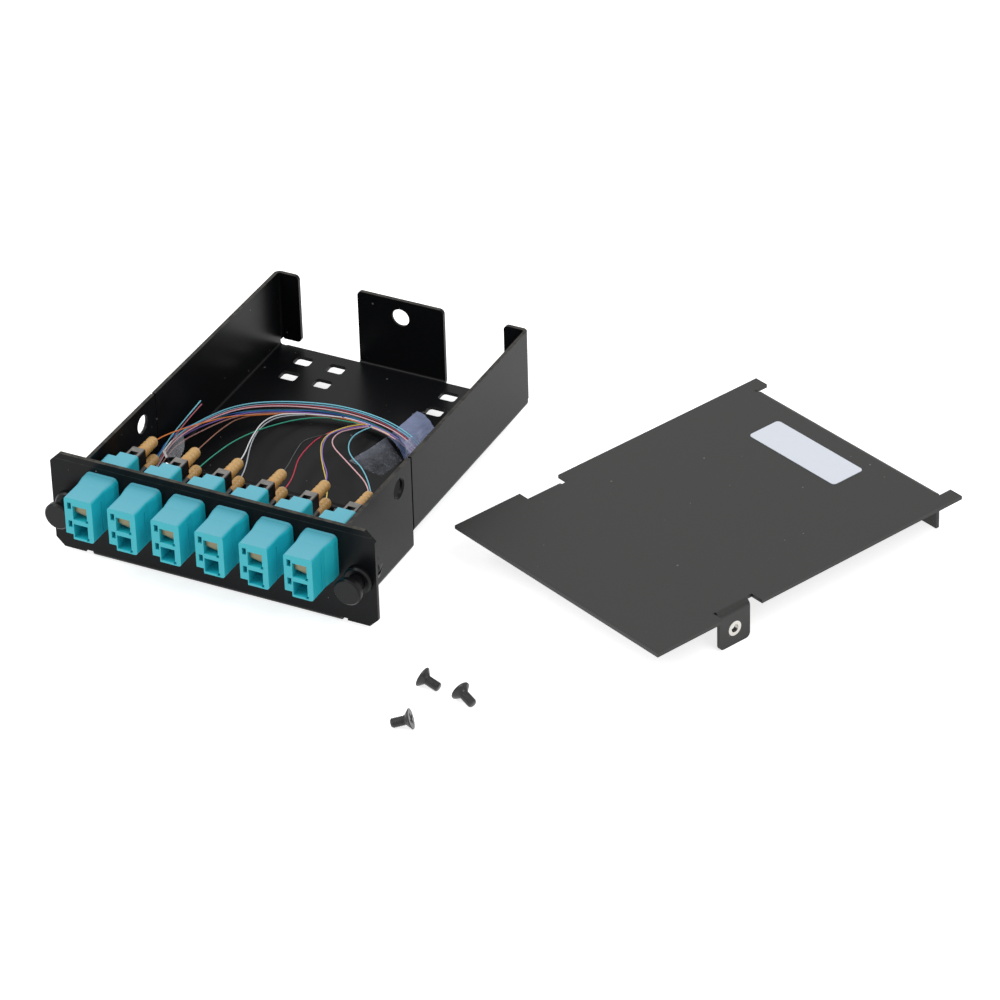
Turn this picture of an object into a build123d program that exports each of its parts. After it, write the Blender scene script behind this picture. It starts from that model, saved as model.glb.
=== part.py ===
"""Fibre adapter cassette with its cover taken off.

A folded sheet tray carries six duplex adapters in its front plate. Twelve small
connectors are plugged in behind them, and their fibres run into one bundle that
lies in the tray. Two push-pull plungers sit in the plate's ears. The cover and
its three countersunk screws lie beside the tray.

Frame in millimetres: X along the front plate with 0 at its middle, Y from the
plate's front face into the tray, Z up from the surface that the tray stands on.
"""
import math
import os
from build123d import *

# Sheet metal
sheet = 1.2
bend_inner = 0.8
fold_corner_radius = 1.5

# Front plate
ear_width = 10.2
ear_bottom = 1.2
plate_rise = 2.0
plate_top_chamfer = 3.3
plate_bottom_chamfer = 2.8
fold_inset = 2.3
fold_relief_width = 2.4
fold_relief_height = 0.7

# Tray
adapter_wall_gap = 0.75
tray_depth = 122.0
wall_top = 32.2
floor_step = 5.4
step_front = 44.6
step_end_gap = 1.0
seam_before_step = 2.1
seam_gap = 0.7
corner_flange_width = 8.2
corner_flange_bottom = 8.2
corner_relief_radius = 1.15
rear_tab_width = 29.8
floor_rear_gap = 1.7
tie_hole_length = 5.6
tie_hole_width = 4.7
tie_hole_corner = 1.0
tie_hole_columns = (19.6, 31.2)
tie_hole_rear_gaps = (17.8, 8.4)

# Countersunk screws
screw_length = 6.0
screw_radius = 1.5
screw_head_radius = 3.1
screw_head_height = 1.7
screw_recess_width = 0.8
screw_recess_span = 3.4
screw_recess_depth = 1.0
screw_hole_inset = 0.15
screw_sink_gap = 0.3
screw_rest = ((77.8, -18.6, -8.0), (90.7, -20.2, -25.0), (84.3, -38.2, 203.0))

# Cover
cover_overhang = 1.0
cover_front_gap = 1.5
cover_rear_gap = 0.3
cover_ear_width = 4.9
cover_ear_length = 3.0
cover_ear_relief = 1.4
cover_relief_depth = 0.4
cover_drop = 12.8
cover_tab_width = 11.8
cover_tab_start = 26.1
cover_tab_inset = 0.3
cover_tab_front_relief = 0.9
cover_tab_rear_relief = 2.4
cover_tab_corner = 1.6
insert_depth = 7.3
insert_radius = 2.7
insert_hole_radius = 1.3
insert_height = 1.6
cover_turn = -23.3
cover_corner_x = 58.0
cover_corner_y = 41.9

# Label
label_length = 37.3
label_width = 12.2
label_left = 22.5
label_rear_gap = 8.7
label_thickness = 0.15
label_corner = 1.3

# Adapters
adapter_count = 6
adapter_gap = 3.66
adapter_bottom = 15.8
adapter_width = 9.3
adapter_height = 14.3
adapter_corner = 0.9
adapter_front_length = 14.3
adapter_rear_length = 13.5
shoulder_side_step = 0.8
shoulder_top_step = 0.3
shoulder_corner = 1.7
shoulder_length = 2.6
shoulder_taper = 4.0
cutout_clearance = 0.15
port_size = 4.7
port_pitch = 6.25
port_offset_x = 0.45
lower_port_height = 3.05
port_wall = 2.4
keyway_width = 1.3
keyway_height = 2.3
keyway_gap = 0.45
keyway_rise = 0.95
foot_notch_width = 2.4
foot_notch_height = 1.7
port_nick = 0.6
port_nick_depth = 0.35
port_nick_length = 3.0
latch_cut_width = 3.2
latch_cut_length = 2.6
side_groove_width = 0.45
side_groove_depth = 0.25
side_groove_place = 8.6
holder_radius = 1.35
holder_length = 8.0
sleeve_outer_radius = 0.85
sleeve_inner_radius = 0.64
sleeve_length = 7.0
sleeve_slit = 0.3
clip_thickness = 0.25
clip_length = 6.4
clip_width = 4.6
clip_seat = 0.05
clip_tongue_gap = 0.3
clip_tongue_drop = 1.1

# Shutter leaves
leaf_thickness = 0.25
leaf_side_gap = 0.1
leaf_setback = 1.3
leaf_short_side = 2.3
leaf_long_side = 3.5
leaf_lean = 25.0
leaf_pin_radius = 0.35
leaf_pin_drop = 0.5
leaf_pin_seat = 0.3
leaf_pin_gap = 0.05

# Connectors
connector_port_gap = 0.1
connector_nose_length = 10.5
connector_nose_gap = 0.2
connector_back_length = 7.2
connector_back_height = 5.2
connector_window_width = 2.6
connector_window_length = 1.9
connector_window_place = 3.9
connector_edge = 0.3
arm_thickness = 0.6
arm_width = 2.0
arm_reach = 1.7
arm_line = ((1.6, 6.5), (3.7, 11.5), (5.3, 18.0))
trigger_line = ((1.6, 20.3), (2.9, 20.0), (3.9, 16.6))
ferrule_radius = 0.62
ferrule_gap = 0.04
ferrule_back_gap = 0.3
flange_radius = 1.3
flange_length = 2.4

# Boots
boot_radius = 2.0
boot_tip_radius = 1.75
boot_length = 9.2
boot_ribs = 4
boot_rib_depth = 0.18
boot_bore_radius = 0.5

# Plungers and their grommets
plunger_wall_gap = 0.98
plunger_height = 16.8
plunger_stem_radius = 2.6
plunger_head_radius = 4.35
plunger_head_length = 1.9
plunger_head_edge = 0.5
plunger_travel = 4.2
plunger_stop_gap = 0.1
plunger_tail = 5.0
grommet_flange_radius = 4.5
grommet_flange_length = 1.5
grommet_bore_gap = 0.12
grommet_wall = 0.8
grommet_length = 8.0
grommet_bulge = 0.35
grommet_slit = 0.9
grommet_slit_start = 0.4
grommet_hole_gap = 0.1

# Fibres: each one's port, how far back it stays straight, and its corner points to the bundle
fibre_radius = 0.45
fibre_grip = 4.0
tube_fillet_share = 0.45
fibre_routes = {
    "blue": ("1 lower", 34.0, [(-38.3, 42.5, 15.3), (-38.9, 51.0, 14.2), (-38.2, 58.5, 13.1)]),
    "orange": ("1 upper", 34.5, [(-34.4, 48.0, 20.4), (-30.5, 63.5, 15.6),
                            (-23.0, 77.5, 11.2), (-16.2, 87.6, 9.2)]),
    "green": ("2 lower", 38.0, [(-20.3, 56.0, 16.4), (-13.5, 74.5, 11.4),
                           (-1.4, 90.9, 9.1)]),
    "brown": ("2 upper", 35.0, [(-25.6, 50.0, 19.0), (-29.2, 66.0, 12.6),
                           (-26.6, 79.7, 10.0)]),
    "slate": ("3 lower", 34.4, [(-13.4, 48.5, 15.4), (-19.6, 64.5, 12.3),
                           (-18.6, 77.5, 10.3), (-11.0, 88.9, 9.1)]),
    "white": ("3 upper", 34.4, [(-13.0, 47.5, 21.3), (-17.8, 63.5, 17.2),
                           (-14.8, 76.5, 13.4), (-6.5, 89.9, 9.6)]),
    "red": ("4 lower", 35.0, [(1.6, 49.0, 15.4), (-1.9, 62.5, 12.4),
                         (0.0, 76.0, 9.9), (7.4, 88.8, 9.2)]),
    "black": ("4 upper", 34.4, [(1.6, 47.0, 20.2), (-4.8, 63.0, 15.2),
                           (-4.4, 78.0, 11.4), (3.4, 90.2, 9.2)]),
    "yellow": ("5 lower", 34.2, [(14.4, 46.5, 16.4), (4.0, 60.5, 14.4),
                            (1.6, 74.5, 12.4), (6.6, 85.0, 10.9), (12.4, 88.8, 9.4)]),
    "violet": ("5 upper", 34.2, [(13.5, 44.5, 21.6), (5.0, 58.0, 18.8),
                            (3.2, 73.0, 14.8), (9.6, 83.3, 11.2), (15.8, 87.3, 9.6)]),
    "rose": ("6 upper", 33.8, [(27.0, 44.0, 22.4), (12.5, 56.5, 20.0),
                          (6.2, 68.5, 16.9), (9.0, 78.5, 13.4), (17.9, 85.6, 9.8)]),
    "aqua": ("6 lower", 33.8, [(29.5, 46.0, 17.6), (16.0, 57.5, 15.6),
                          (10.2, 69.0, 13.2), (13.4, 79.0, 11.0), (21.6, 83.9, 9.5)]),
}

# Bundle of the twelve fibres: one full loop, which ends beside its own start
bundle_radius = 1.8
bundle_route = [(-40.6, 31.0, 15.6), (-40.2, 44.5, 15.0), (-38.0, 60.5, 12.9), (-31.8, 76.7, 10.3),
                (-19.0, 87.2, 8.9), (-3.0, 92.0, 8.7), (12.5, 89.3, 8.7), (27.0, 81.5, 8.7),
                (36.8, 69.5, 9.2), (40.2, 53.0, 10.2), (39.4, 34.0, 8.6), (32.0, 17.0, 6.2),
                (14.0, 9.0, 4.4), (-10.0, 8.4, 4.2), (-29.0, 13.0, 5.4), (-38.0, 27.0, 8.4),
                (-39.6, 42.0, 9.6)]

# Two loose cut ends
loose_routes = [
    [(-41.4, 30.8, 15.8), (-41.5, 38.4, 16.4), (-40.6, 46.5, 19.6), (-36.6, 54.0, 22.5),
     (-31.6, 59.5, 25.2)],
    [(-40.1, 31.0, 16.6), (-39.9, 38.8, 17.4), (-38.4, 47.0, 20.6), (-34.6, 53.5, 24.0),
     (-29.6, 57.5, 27.4)],
]

# Clear tape
tape_thickness = 0.15
wall_tape_ends = ((42.4, 31.3), (16.3, 11.0))
wall_tape_outline = ((0, 43.9), (0, 63.8), (1, 96.9), (1, 80.2))
floor_tape_outline = ((11.2, 84.1), (11.7, 79.4), (8.5, 68.8), (15.7, 66.4), (23.4, 64.3), (23.5, 75.5))
flag_height = 20.95
flag_outline = ((-36.2, 27.3), (-34.1, 43.0), (-27.5, 30.0), (-31.0, 26.6))

# Derived places
bend_outer = bend_inner + sheet
shoulder_width = adapter_width + 2 * shoulder_side_step
shoulder_height = adapter_height + 2 * shoulder_top_step
adapter_pitch = shoulder_width + adapter_gap
adapter_places = [adapter_pitch * (i - (adapter_count - 1) / 2) for i in range(adapter_count)]
half_inside = adapter_places[-1] + shoulder_width / 2 + adapter_wall_gap
half_tray = half_inside + sheet
half_plate = half_tray + ear_width
half_fold = half_tray - fold_inset
plate_top = wall_top + plate_rise
seam_front = step_front - seam_before_step
floor_rear_edge = tray_depth - floor_rear_gap
tie_hole_rows = [tray_depth - gap for gap in tie_hole_rear_gaps]
rear_floor_top = floor_step + sheet
step_flat = step_front + bend_outer
screw_hole_height = wall_top + sheet - insert_depth
screw_hole_radius = screw_head_radius - screw_hole_inset
screw_sink_radius = screw_head_radius + screw_sink_gap
cover_width = 2 * (half_tray + cover_overhang)
cover_front = sheet + cover_front_gap
cover_length = tray_depth - sheet - cover_rear_gap - cover_front
screw_hole_place = cover_front + cover_tab_start + cover_tab_width / 2
adapter_centre_height = adapter_bottom + adapter_height / 2
port_heights = [adapter_bottom + lower_port_height + port_pitch * k for k in range(2)]
adapter_middle = sheet / 2
connector_size = port_size - 2 * connector_port_gap
connector_shoulder = adapter_rear_length + connector_nose_gap
connector_back_end = connector_shoulder + connector_back_length
boot_end = connector_back_end + boot_length
grommet_barrel_radius = plunger_stem_radius + grommet_bore_gap + grommet_wall
plunger_place = half_tray + plunger_wall_gap + grommet_barrel_radius
plunger_front = -(grommet_flange_length + plunger_stop_gap + plunger_travel + plunger_head_length)

os.makedirs("parts", exist_ok=True)


def folded_strip(points, thickness, inner_radius):
    """Face of a bent strip: a polyline offset half the sheet to each side, with rounded bends."""
    pts = [Vector(*p) for p in points]
    sides = ([], [])
    turns = []
    for i, p in enumerate(pts):
        before = (p - pts[i - 1]).normalized() if i else None
        after = (pts[i + 1] - p).normalized() if i < len(pts) - 1 else None
        before, after = before or after, after or before
        mitre = (before + after).normalized()
        normal = Vector(-mitre.Y, mitre.X)
        reach = thickness / 2 / (normal.dot(Vector(-before.Y, before.X)))
        sides[0].append(p + normal * reach)
        sides[1].append(p - normal * reach)
        turns.append(before.X * after.Y - before.Y * after.X)
    inner_turns = turns[1:-1]
    left = [inner_radius if t > 0 else inner_radius + thickness for t in inner_turns]
    right = [inner_radius + thickness if t > 0 else inner_radius for t in inner_turns]
    line = FilletPolyline(*sides[0], radius=left) + FilletPolyline(*sides[1], radius=right)
    line += Line(sides[0][0], sides[1][0])
    line += Line(sides[0][-1], sides[1][-1])
    return make_face(line)


def across_x(profile, x_min, x_max):
    """Solid of a (Y, Z) profile between two places along X."""
    plane = Plane(origin=(x_min, 0, 0), x_dir=(0, 1, 0), z_dir=(1, 0, 0))
    return extrude(plane * profile, x_max - x_min)


def along_y(profile, y_min, y_max):
    """Solid of an (X, Z) profile between two places along Y."""
    plane = Plane(origin=(0, y_max, 0), x_dir=(1, 0, 0), z_dir=(0, -1, 0))
    return extrude(plane * profile, y_max - y_min)


def block(x_min, x_max, y_min, y_max, z_min, z_max):
    """Box between two corners."""
    centre = ((x_min + x_max) / 2, (y_min + y_max) / 2, (z_min + z_max) / 2)
    return Pos(*centre) * Box(x_max - x_min, y_max - y_min, z_max - z_min)


def rod_y(radius, y_min, y_max, x=0.0, z=0.0):
    """Cylinder along Y."""
    return Pos(x, (y_min + y_max) / 2, z) * Rot(90, 0, 0) * Cylinder(radius, y_max - y_min)


def turned_y(points, x=0.0, z=0.0):
    """Solid turned about a line along Y, from (radius, y) points."""
    return Pos(x, 0, z) * revolve(make_face(Polyline(*points, close=True)), Axis.Y)


def countersink(depth):
    """Tool for a countersunk hole down through a sheet, with its wide mouth at z = 0."""
    sink = screw_sink_radius - screw_hole_radius
    bore = Pos(0, 0, -depth / 2) * Cylinder(screw_hole_radius, 3 * depth)
    return bore + Pos(0, 0, -sink / 2) * Cone(screw_hole_radius, screw_sink_radius, sink)


def build_front_plate():
    """Octagonal plate with relief notches where its bottom edge starts to fold."""
    half = half_plate
    outline = Polyline(
        (-half, ear_bottom + plate_bottom_chamfer),
        (-half + plate_bottom_chamfer, ear_bottom),
        (half - plate_bottom_chamfer, ear_bottom),
        (half, ear_bottom + plate_bottom_chamfer),
        (half, plate_top - plate_top_chamfer),
        (half - plate_top_chamfer, plate_top),
        (-half + plate_top_chamfer, plate_top),
        (-half, plate_top - plate_top_chamfer),
        close=True,
    )
    plate = along_y(make_face(outline), 0, sheet)
    plate -= block(-half_fold, half_fold, -1, sheet + 1, 0, bend_outer)
    for side in (-1, 1):
        inner = side * half_fold
        outer = side * (half_fold + fold_relief_width)
        plate -= block(min(inner, outer), max(inner, outer), -1, sheet + 1,
                       0, ear_bottom + fold_relief_height)
    return plate


def build_tray():
    """The folded tray: plate, stepped floor, side walls, rear tab and corner flanges."""
    middle = sheet / 2
    length_profile = folded_strip(
        [(middle, plate_top - plate_top_chamfer), (middle, middle), (step_front + middle, middle),
         (step_front + middle, floor_step + middle), (floor_rear_edge, floor_step + middle)],
        sheet, bend_inner)
    tray = across_x(length_profile, -half_fold + step_end_gap, half_fold - step_end_gap)
    fold_profile = folded_strip(
        [(middle, 3 * bend_outer), (middle, middle), (seam_front, middle)], sheet, bend_inner)
    tray += across_x(fold_profile, -half_fold, half_fold)
    tray += build_front_plate()

    wall_line = half_tray - middle
    front_section = folded_strip(
        [(-wall_line, wall_top), (-wall_line, middle), (wall_line, middle), (wall_line, wall_top)],
        sheet, bend_inner)
    front_walls = along_y(front_section, sheet, seam_front)
    front_walls -= block(-half_inside, half_inside, 0, bend_outer + 1, -1, bend_outer)
    for side in (-1, 1):
        corner = (side * half_fold, side * (half_tray + 1))
        front_walls -= block(min(corner), max(corner), 0, bend_outer + 1, -1, bend_outer + 0.6)
    rear_section = folded_strip(
        [(-wall_line, wall_top), (-wall_line, floor_step + middle),
         (wall_line, floor_step + middle), (wall_line, wall_top)], sheet, bend_inner)
    rear_start = seam_front + seam_gap
    rear_walls = along_y(rear_section, rear_start, tray_depth - bend_outer)
    rear_walls -= block(-half_inside, half_inside, rear_start - 1, step_flat, 0, rear_floor_top + 1)
    rear_walls -= block(-half_tray, half_tray, floor_rear_edge, tray_depth, 0, corner_flange_bottom)
    tray += front_walls + rear_walls

    tab_profile = folded_strip(
        [(floor_rear_edge - 4, floor_step + middle), (tray_depth - middle, floor_step + middle),
         (tray_depth - middle, wall_top)], sheet, bend_inner)
    rear_tab = across_x(tab_profile, -rear_tab_width / 2, rear_tab_width / 2)
    rear_tab = fillet(rear_tab.edges().filter_by(Axis.Y).group_by(Axis.Z)[-1], fold_corner_radius)
    tray += rear_tab

    for side in (-1, 1):
        flange_line = folded_strip(
            [(side * wall_line, tray_depth - 2 * bend_outer), (side * wall_line, tray_depth - middle),
             (side * (half_tray - corner_flange_width), tray_depth - middle)], sheet, bend_inner)
        flange = Pos(0, 0, corner_flange_bottom) * extrude(
            flange_line, wall_top - corner_flange_bottom, dir=(0, 0, 1))
        inner_end = flange.edges().filter_by(Axis.Y).sort_by(Axis.X)
        free_end = inner_end[:2] if side > 0 else inner_end[-2:]
        tray += fillet(free_end, fold_corner_radius)
    return tray - tray_cutouts()


def tray_cutouts():
    """Everything punched out of the tray."""
    tools = []
    for x in adapter_places:
        tools.append(block(
            x - adapter_width / 2 - cutout_clearance, x + adapter_width / 2 + cutout_clearance,
            -1, sheet + 1, adapter_bottom - cutout_clearance,
            adapter_bottom + adapter_height + cutout_clearance))
    for side in (-1, 1):
        tools.append(rod_y(grommet_barrel_radius + grommet_hole_gap, -1, sheet + 1,
                           side * plunger_place, plunger_height))
        tools.append(Pos(side * half_tray, screw_hole_place, screw_hole_height)
                     * Rot(0, side * 90, 0) * countersink(sheet))
        tools.append(Pos(side * (half_inside - 0.2), tray_depth - 0.2, rear_floor_top)
                     * Cylinder(corner_relief_radius, 2 * bend_outer))
        for column in tie_hole_columns:
            for row in tie_hole_rows:
                hole = RectangleRounded(tie_hole_length, tie_hole_width, tie_hole_corner)
                tools.append(Pos(side * column, row, floor_step - 1) * extrude(hole, sheet + 2))
    tools.append(Pos(0, tray_depth, screw_hole_height) * Rot(-90, 0, 0) * countersink(sheet))
    return Part() + tools


def build_adapter(x):
    """Moulded duplex adapter: rounded body, flared shoulder, two ports through, latch keyways."""

    def section(width, height, corner, y):
        plane = Plane(origin=(x, y, adapter_centre_height), x_dir=(1, 0, 0), z_dir=(0, -1, 0))
        return plane * RectangleRounded(width, height, corner)

    slim = (adapter_width, adapter_height, adapter_corner)
    broad = (shoulder_width, shoulder_height, shoulder_corner)
    taper_end = -shoulder_length
    taper_start = taper_end - shoulder_taper
    body = extrude(section(*slim, taper_start), adapter_front_length + taper_start)
    body += loft([section(*slim, taper_start), section(*broad, taper_end)])
    body += extrude(section(*broad, 0), shoulder_length)
    body += extrude(section(*slim, adapter_rear_length), adapter_rear_length)
    face = -adapter_front_length

    left = x - adapter_width / 2
    body -= block(left - 1, left + foot_notch_width, face - 1, taper_start,
                  adapter_bottom - 1, adapter_bottom + foot_notch_height)
    body -= block(left - 1, left + latch_cut_width, adapter_rear_length - latch_cut_length,
                  adapter_rear_length + 1, adapter_bottom - 1, adapter_bottom + adapter_height + 1)
    body -= block(x - clip_width / 2 - 0.1, x + clip_width / 2 + 0.1, -shoulder_length - 0.1,
                  sheet + clip_length + 0.1, adapter_bottom - 1,
                  adapter_bottom + clip_seat + clip_thickness)
    right = x + adapter_width / 2
    body -= block(right - side_groove_depth, right + 1, -side_groove_place - side_groove_width,
                  -side_groove_place, adapter_bottom + 1.5, adapter_bottom + adapter_height - 2.5)

    for height in port_heights:
        port_x = x + port_offset_x
        half = port_size / 2
        for y_min, y_max in ((face - 1, adapter_middle - port_wall / 2),
                             (adapter_middle + port_wall / 2, adapter_rear_length + 1)):
            body -= block(port_x - half, port_x + half, y_min, y_max, height - half, height + half)
        keyway_right = port_x - half - keyway_gap
        body -= block(keyway_right - keyway_width, keyway_right, face - 1,
                      adapter_middle - port_wall / 2,
                      height + keyway_rise, height + keyway_rise + keyway_height)
        latch_side = port_x - half - arm_reach - arm_thickness - 0.2
        body -= block(latch_side, port_x - half + 0.01, adapter_middle + port_wall / 2,
                      adapter_rear_length + 1, height - arm_width / 2 - 0.15,
                      height + arm_width / 2 + 0.15)
        body -= block(port_x + half - port_nick, port_x + half + port_nick_depth,
                      face - 1, face + port_nick_length,
                      height - half - port_nick_depth, height - half + port_nick)
        body += rod_y(holder_radius, adapter_middle - holder_length / 2,
                      adapter_middle + holder_length / 2, port_x, height)
        body -= rod_y(sleeve_outer_radius, adapter_middle - sleeve_length / 2,
                      adapter_middle + sleeve_length / 2, port_x, height)
        body -= rod_y(ferrule_radius + ferrule_gap, adapter_middle - holder_length,
                      adapter_middle + holder_length, port_x, height)
    seat = Cylinder(leaf_pin_radius + leaf_pin_gap, port_size + 2 * leaf_pin_seat)
    body -= Pos(x + port_offset_x, *leaf_axis()) * Rot(0, 90, 0) * seat
    return body


def build_sleeves():
    """Split alignment sleeves, one in each port's holder, all in one node."""
    solids = []
    for x in adapter_places:
        for height in port_heights:
            place = (x + port_offset_x, height)
            ends = (adapter_middle - sleeve_length / 2, adapter_middle + sleeve_length / 2)
            sleeve = rod_y(sleeve_outer_radius - 0.02, *ends, *place)
            sleeve -= rod_y(sleeve_inner_radius, *ends, *place)
            sleeve -= block(place[0] - sleeve_slit / 2, place[0] + sleeve_slit / 2, *ends,
                            height, height + holder_radius)
            solids.append(sleeve)
    return Compound(children=solids)


def build_clips():
    """Spring steel clips in the adapters' undersides; their tongues catch the plate's back."""
    solids = []
    low = adapter_bottom + clip_seat
    for x in adapter_places:
        left, right = x - clip_width / 2, x + clip_width / 2
        clip = block(left, right, -shoulder_length, sheet + clip_length, low, low + clip_thickness)
        tongue = folded_strip(
            [(sheet + clip_length - 1, low + clip_thickness / 2),
             (sheet + clip_length - 2.5, low + clip_thickness / 2),
             (sheet + clip_tongue_gap, low - clip_tongue_drop)], clip_thickness, clip_thickness)
        solids.append(clip + across_x(tongue, left + 0.8, right - 0.8))
    return Compound(children=solids)


def leaf_axis():
    """Where the shutter leaves' pins run along X: (y, z)."""
    return (leaf_setback - adapter_front_length,
            port_heights[1] + port_size / 2 - leaf_pin_drop)


def build_shutter(x):
    """Thin leaf that hangs from its pin in an upper port, with a slanted lower edge."""
    half = port_size / 2 - leaf_side_gap
    outline = Polyline((-half, 0), (-half, -leaf_short_side), (half, -leaf_long_side), (half, 0),
                       close=True)
    panel = Pos(0, leaf_thickness / 2, 0) * extrude(Plane.XZ * make_face(outline), leaf_thickness)
    pin = Rot(0, 90, 0) * Cylinder(leaf_pin_radius, port_size + 2 * leaf_pin_seat - 0.1)
    return Pos(x + port_offset_x, *leaf_axis()) * (pin + Rot(leaf_lean, 0, 0) * panel)


def build_connector(x, height):
    """Small plug: square nose, back housing with a window, latch arm and trigger on the left."""
    axis_x = x + port_offset_x
    half = connector_size / 2
    nose_start = connector_shoulder - connector_nose_length
    nose = block(axis_x - half, axis_x + half, nose_start, connector_shoulder,
                 height - half, height + half)
    back = block(axis_x - half, axis_x + half, connector_shoulder, connector_back_end,
                 height - connector_back_height / 2, height + connector_back_height / 2)
    back = chamfer(back.edges().filter_by(Axis.Y), connector_edge)
    body = nose + back
    window_y = connector_shoulder + connector_window_place
    body -= block(axis_x - connector_window_width / 2, axis_x + connector_window_width / 2,
                  window_y - connector_window_length / 2, window_y + connector_window_length / 2,
                  height, height + connector_back_height)
    body -= rod_y(flange_radius + ferrule_gap, window_y - flange_length / 2 - ferrule_gap,
                  window_y + flange_length / 2 + ferrule_gap, axis_x, height)
    bore = holder_radius + 0.1
    body -= rod_y(bore, nose_start - 1, ferrule_back(), axis_x, height)
    for line in (arm_line, trigger_line):
        strip = folded_strip([(axis_x - out, y) for out, y in line], arm_thickness, 0.5)
        body += Pos(0, 0, height - arm_width / 2) * extrude(strip, arm_width, dir=(0, 0, 1))
    return body


def ferrule_back():
    """Where the ferrules end in the connectors' noses."""
    return adapter_middle + holder_length / 2 + ferrule_back_gap


def build_ferrules():
    """Ceramic ferrules in the connectors' noses, and their flanges under the windows."""
    solids = []
    window_y = connector_shoulder + connector_window_place
    for x in adapter_places:
        for height in port_heights:
            place = (x + port_offset_x, height)
            solids.append(rod_y(ferrule_radius, adapter_middle, ferrule_back(), *place))
            solids.append(rod_y(flange_radius, window_y - flange_length / 2,
                                window_y + flange_length / 2, *place))
    return Compound(children=solids)


def build_boot(x, height):
    """Ribbed, tapered rubber boot with a rounded end and the fibre's bore."""
    start, end = connector_back_end, boot_end
    points = [(0, start), (boot_radius, start)]
    ribbed = boot_length - 2.4
    for k in range(boot_ribs):
        y = start + ribbed * (k + 0.5) / boot_ribs
        width = ribbed / boot_ribs * 0.25
        outer = boot_radius - 0.1 * k / boot_ribs
        points += [(outer, y - width), (outer - boot_rib_depth, y - width),
                   (outer - boot_rib_depth, y + width), (outer, y + width)]
    points += [(boot_tip_radius + 0.15, end - 1.6), (boot_tip_radius - 0.25, end - 0.6),
               (boot_tip_radius - 0.8, end), (0, end)]
    boot = turned_y(points, x + port_offset_x, height)
    return boot - rod_y(boot_bore_radius, start - 1, end + 1, x + port_offset_x, height)


def build_grommet(side):
    """Slit nylon grommet: flange in front of the plate, barrel through it, bulged legs behind."""
    bore = plunger_stem_radius + grommet_bore_gap
    barrel = grommet_barrel_radius
    bulge_start = sheet + 0.1
    bulge_end = sheet + grommet_length
    points = [(bore, -grommet_flange_length), (grommet_flange_radius - 0.5, -grommet_flange_length),
              (grommet_flange_radius, -grommet_flange_length + 0.6), (grommet_flange_radius, 0),
              (barrel, 0), (barrel, bulge_start), (barrel + grommet_bulge, bulge_start + 1),
              (barrel + grommet_bulge, bulge_end - 3), (barrel - 0.5, bulge_end), (bore, bulge_end)]
    grommet = turned_y(points, side * plunger_place, plunger_height)
    slit = Box(grommet_slit, grommet_length, 3 * grommet_flange_radius)
    slit += Box(3 * grommet_flange_radius, grommet_length, grommet_slit)
    slit_middle = bulge_start + grommet_slit_start + grommet_length / 2
    return grommet - Pos(side * plunger_place, slit_middle, plunger_height) * slit


def build_plunger(side):
    """Push-pull plunger, drawn pulled out: disc head and plain stem."""
    x = side * plunger_place
    front = plunger_front
    points = [(0, front), (plunger_head_radius - plunger_head_edge, front),
              (plunger_head_radius, front + plunger_head_edge),
              (plunger_head_radius, front + plunger_head_length),
              (plunger_stem_radius, front + plunger_head_length),
              (plunger_stem_radius, plunger_tail - 1), (plunger_stem_radius - 0.8, plunger_tail),
              (0, plunger_tail)]
    return turned_y(points, x, plunger_height)


def build_cover():
    """Cover as it lies on the surface: flat top, rear flange between two ears, two side tabs."""
    thick = sheet
    rear = cover_length
    top = cover_drop
    half = cover_width / 2
    tab_face = half_inside - cover_tab_inset
    plate = block(-half, half, 0, rear - bend_outer, top - thick, top)
    flange_line = folded_strip(
        [(rear - 3 * bend_outer, top - thick / 2), (rear - thick / 2, top - thick / 2),
         (rear - thick / 2, 0)], thick, bend_inner)
    flange_half = half - cover_ear_width - cover_ear_relief
    cover = plate + across_x(flange_line, -flange_half, flange_half)
    for side in (-1, 1):
        outer = side * half
        inner = side * (half - cover_ear_width)
        cover += block(min(outer, inner), max(outer, inner), rear - 2 * bend_outer,
                       rear + cover_ear_length, top - thick, top)
        relief = (side * flange_half, inner)
        cover -= block(min(relief), max(relief), rear - bend_outer - cover_relief_depth,
                       rear + 2 * cover_ear_length, -1, top + 1)
        bend_start = side * (tab_face - bend_outer)
        window = (bend_start, side * (half + 1))
        cover -= block(min(window), max(window), cover_tab_start - cover_tab_front_relief,
                       cover_tab_start + cover_tab_width + cover_tab_rear_relief, -1, top + 1)
        tab_line = folded_strip(
            [(side * (tab_face - 3 * bend_outer), top - thick / 2),
             (side * (tab_face - thick / 2), top - thick / 2),
             (side * (tab_face - thick / 2), 0)], thick, bend_inner)
        tab = along_y(tab_line, cover_tab_start, cover_tab_start + cover_tab_width)
        low_edges = tab.edges().filter_by(Axis.X).group_by(Axis.Z)[0]
        cover += fillet(low_edges, cover_tab_corner)
        cover -= Pos(side * tab_face, cover_tab_start + cover_tab_width / 2, top - insert_depth) \
            * Rot(0, 90, 0) * Cylinder(insert_radius - 0.3, 4 * thick)
    cover -= rod_y(insert_radius - 0.3, rear - 3, rear + 1, 0, top - insert_depth)
    return cover


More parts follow.
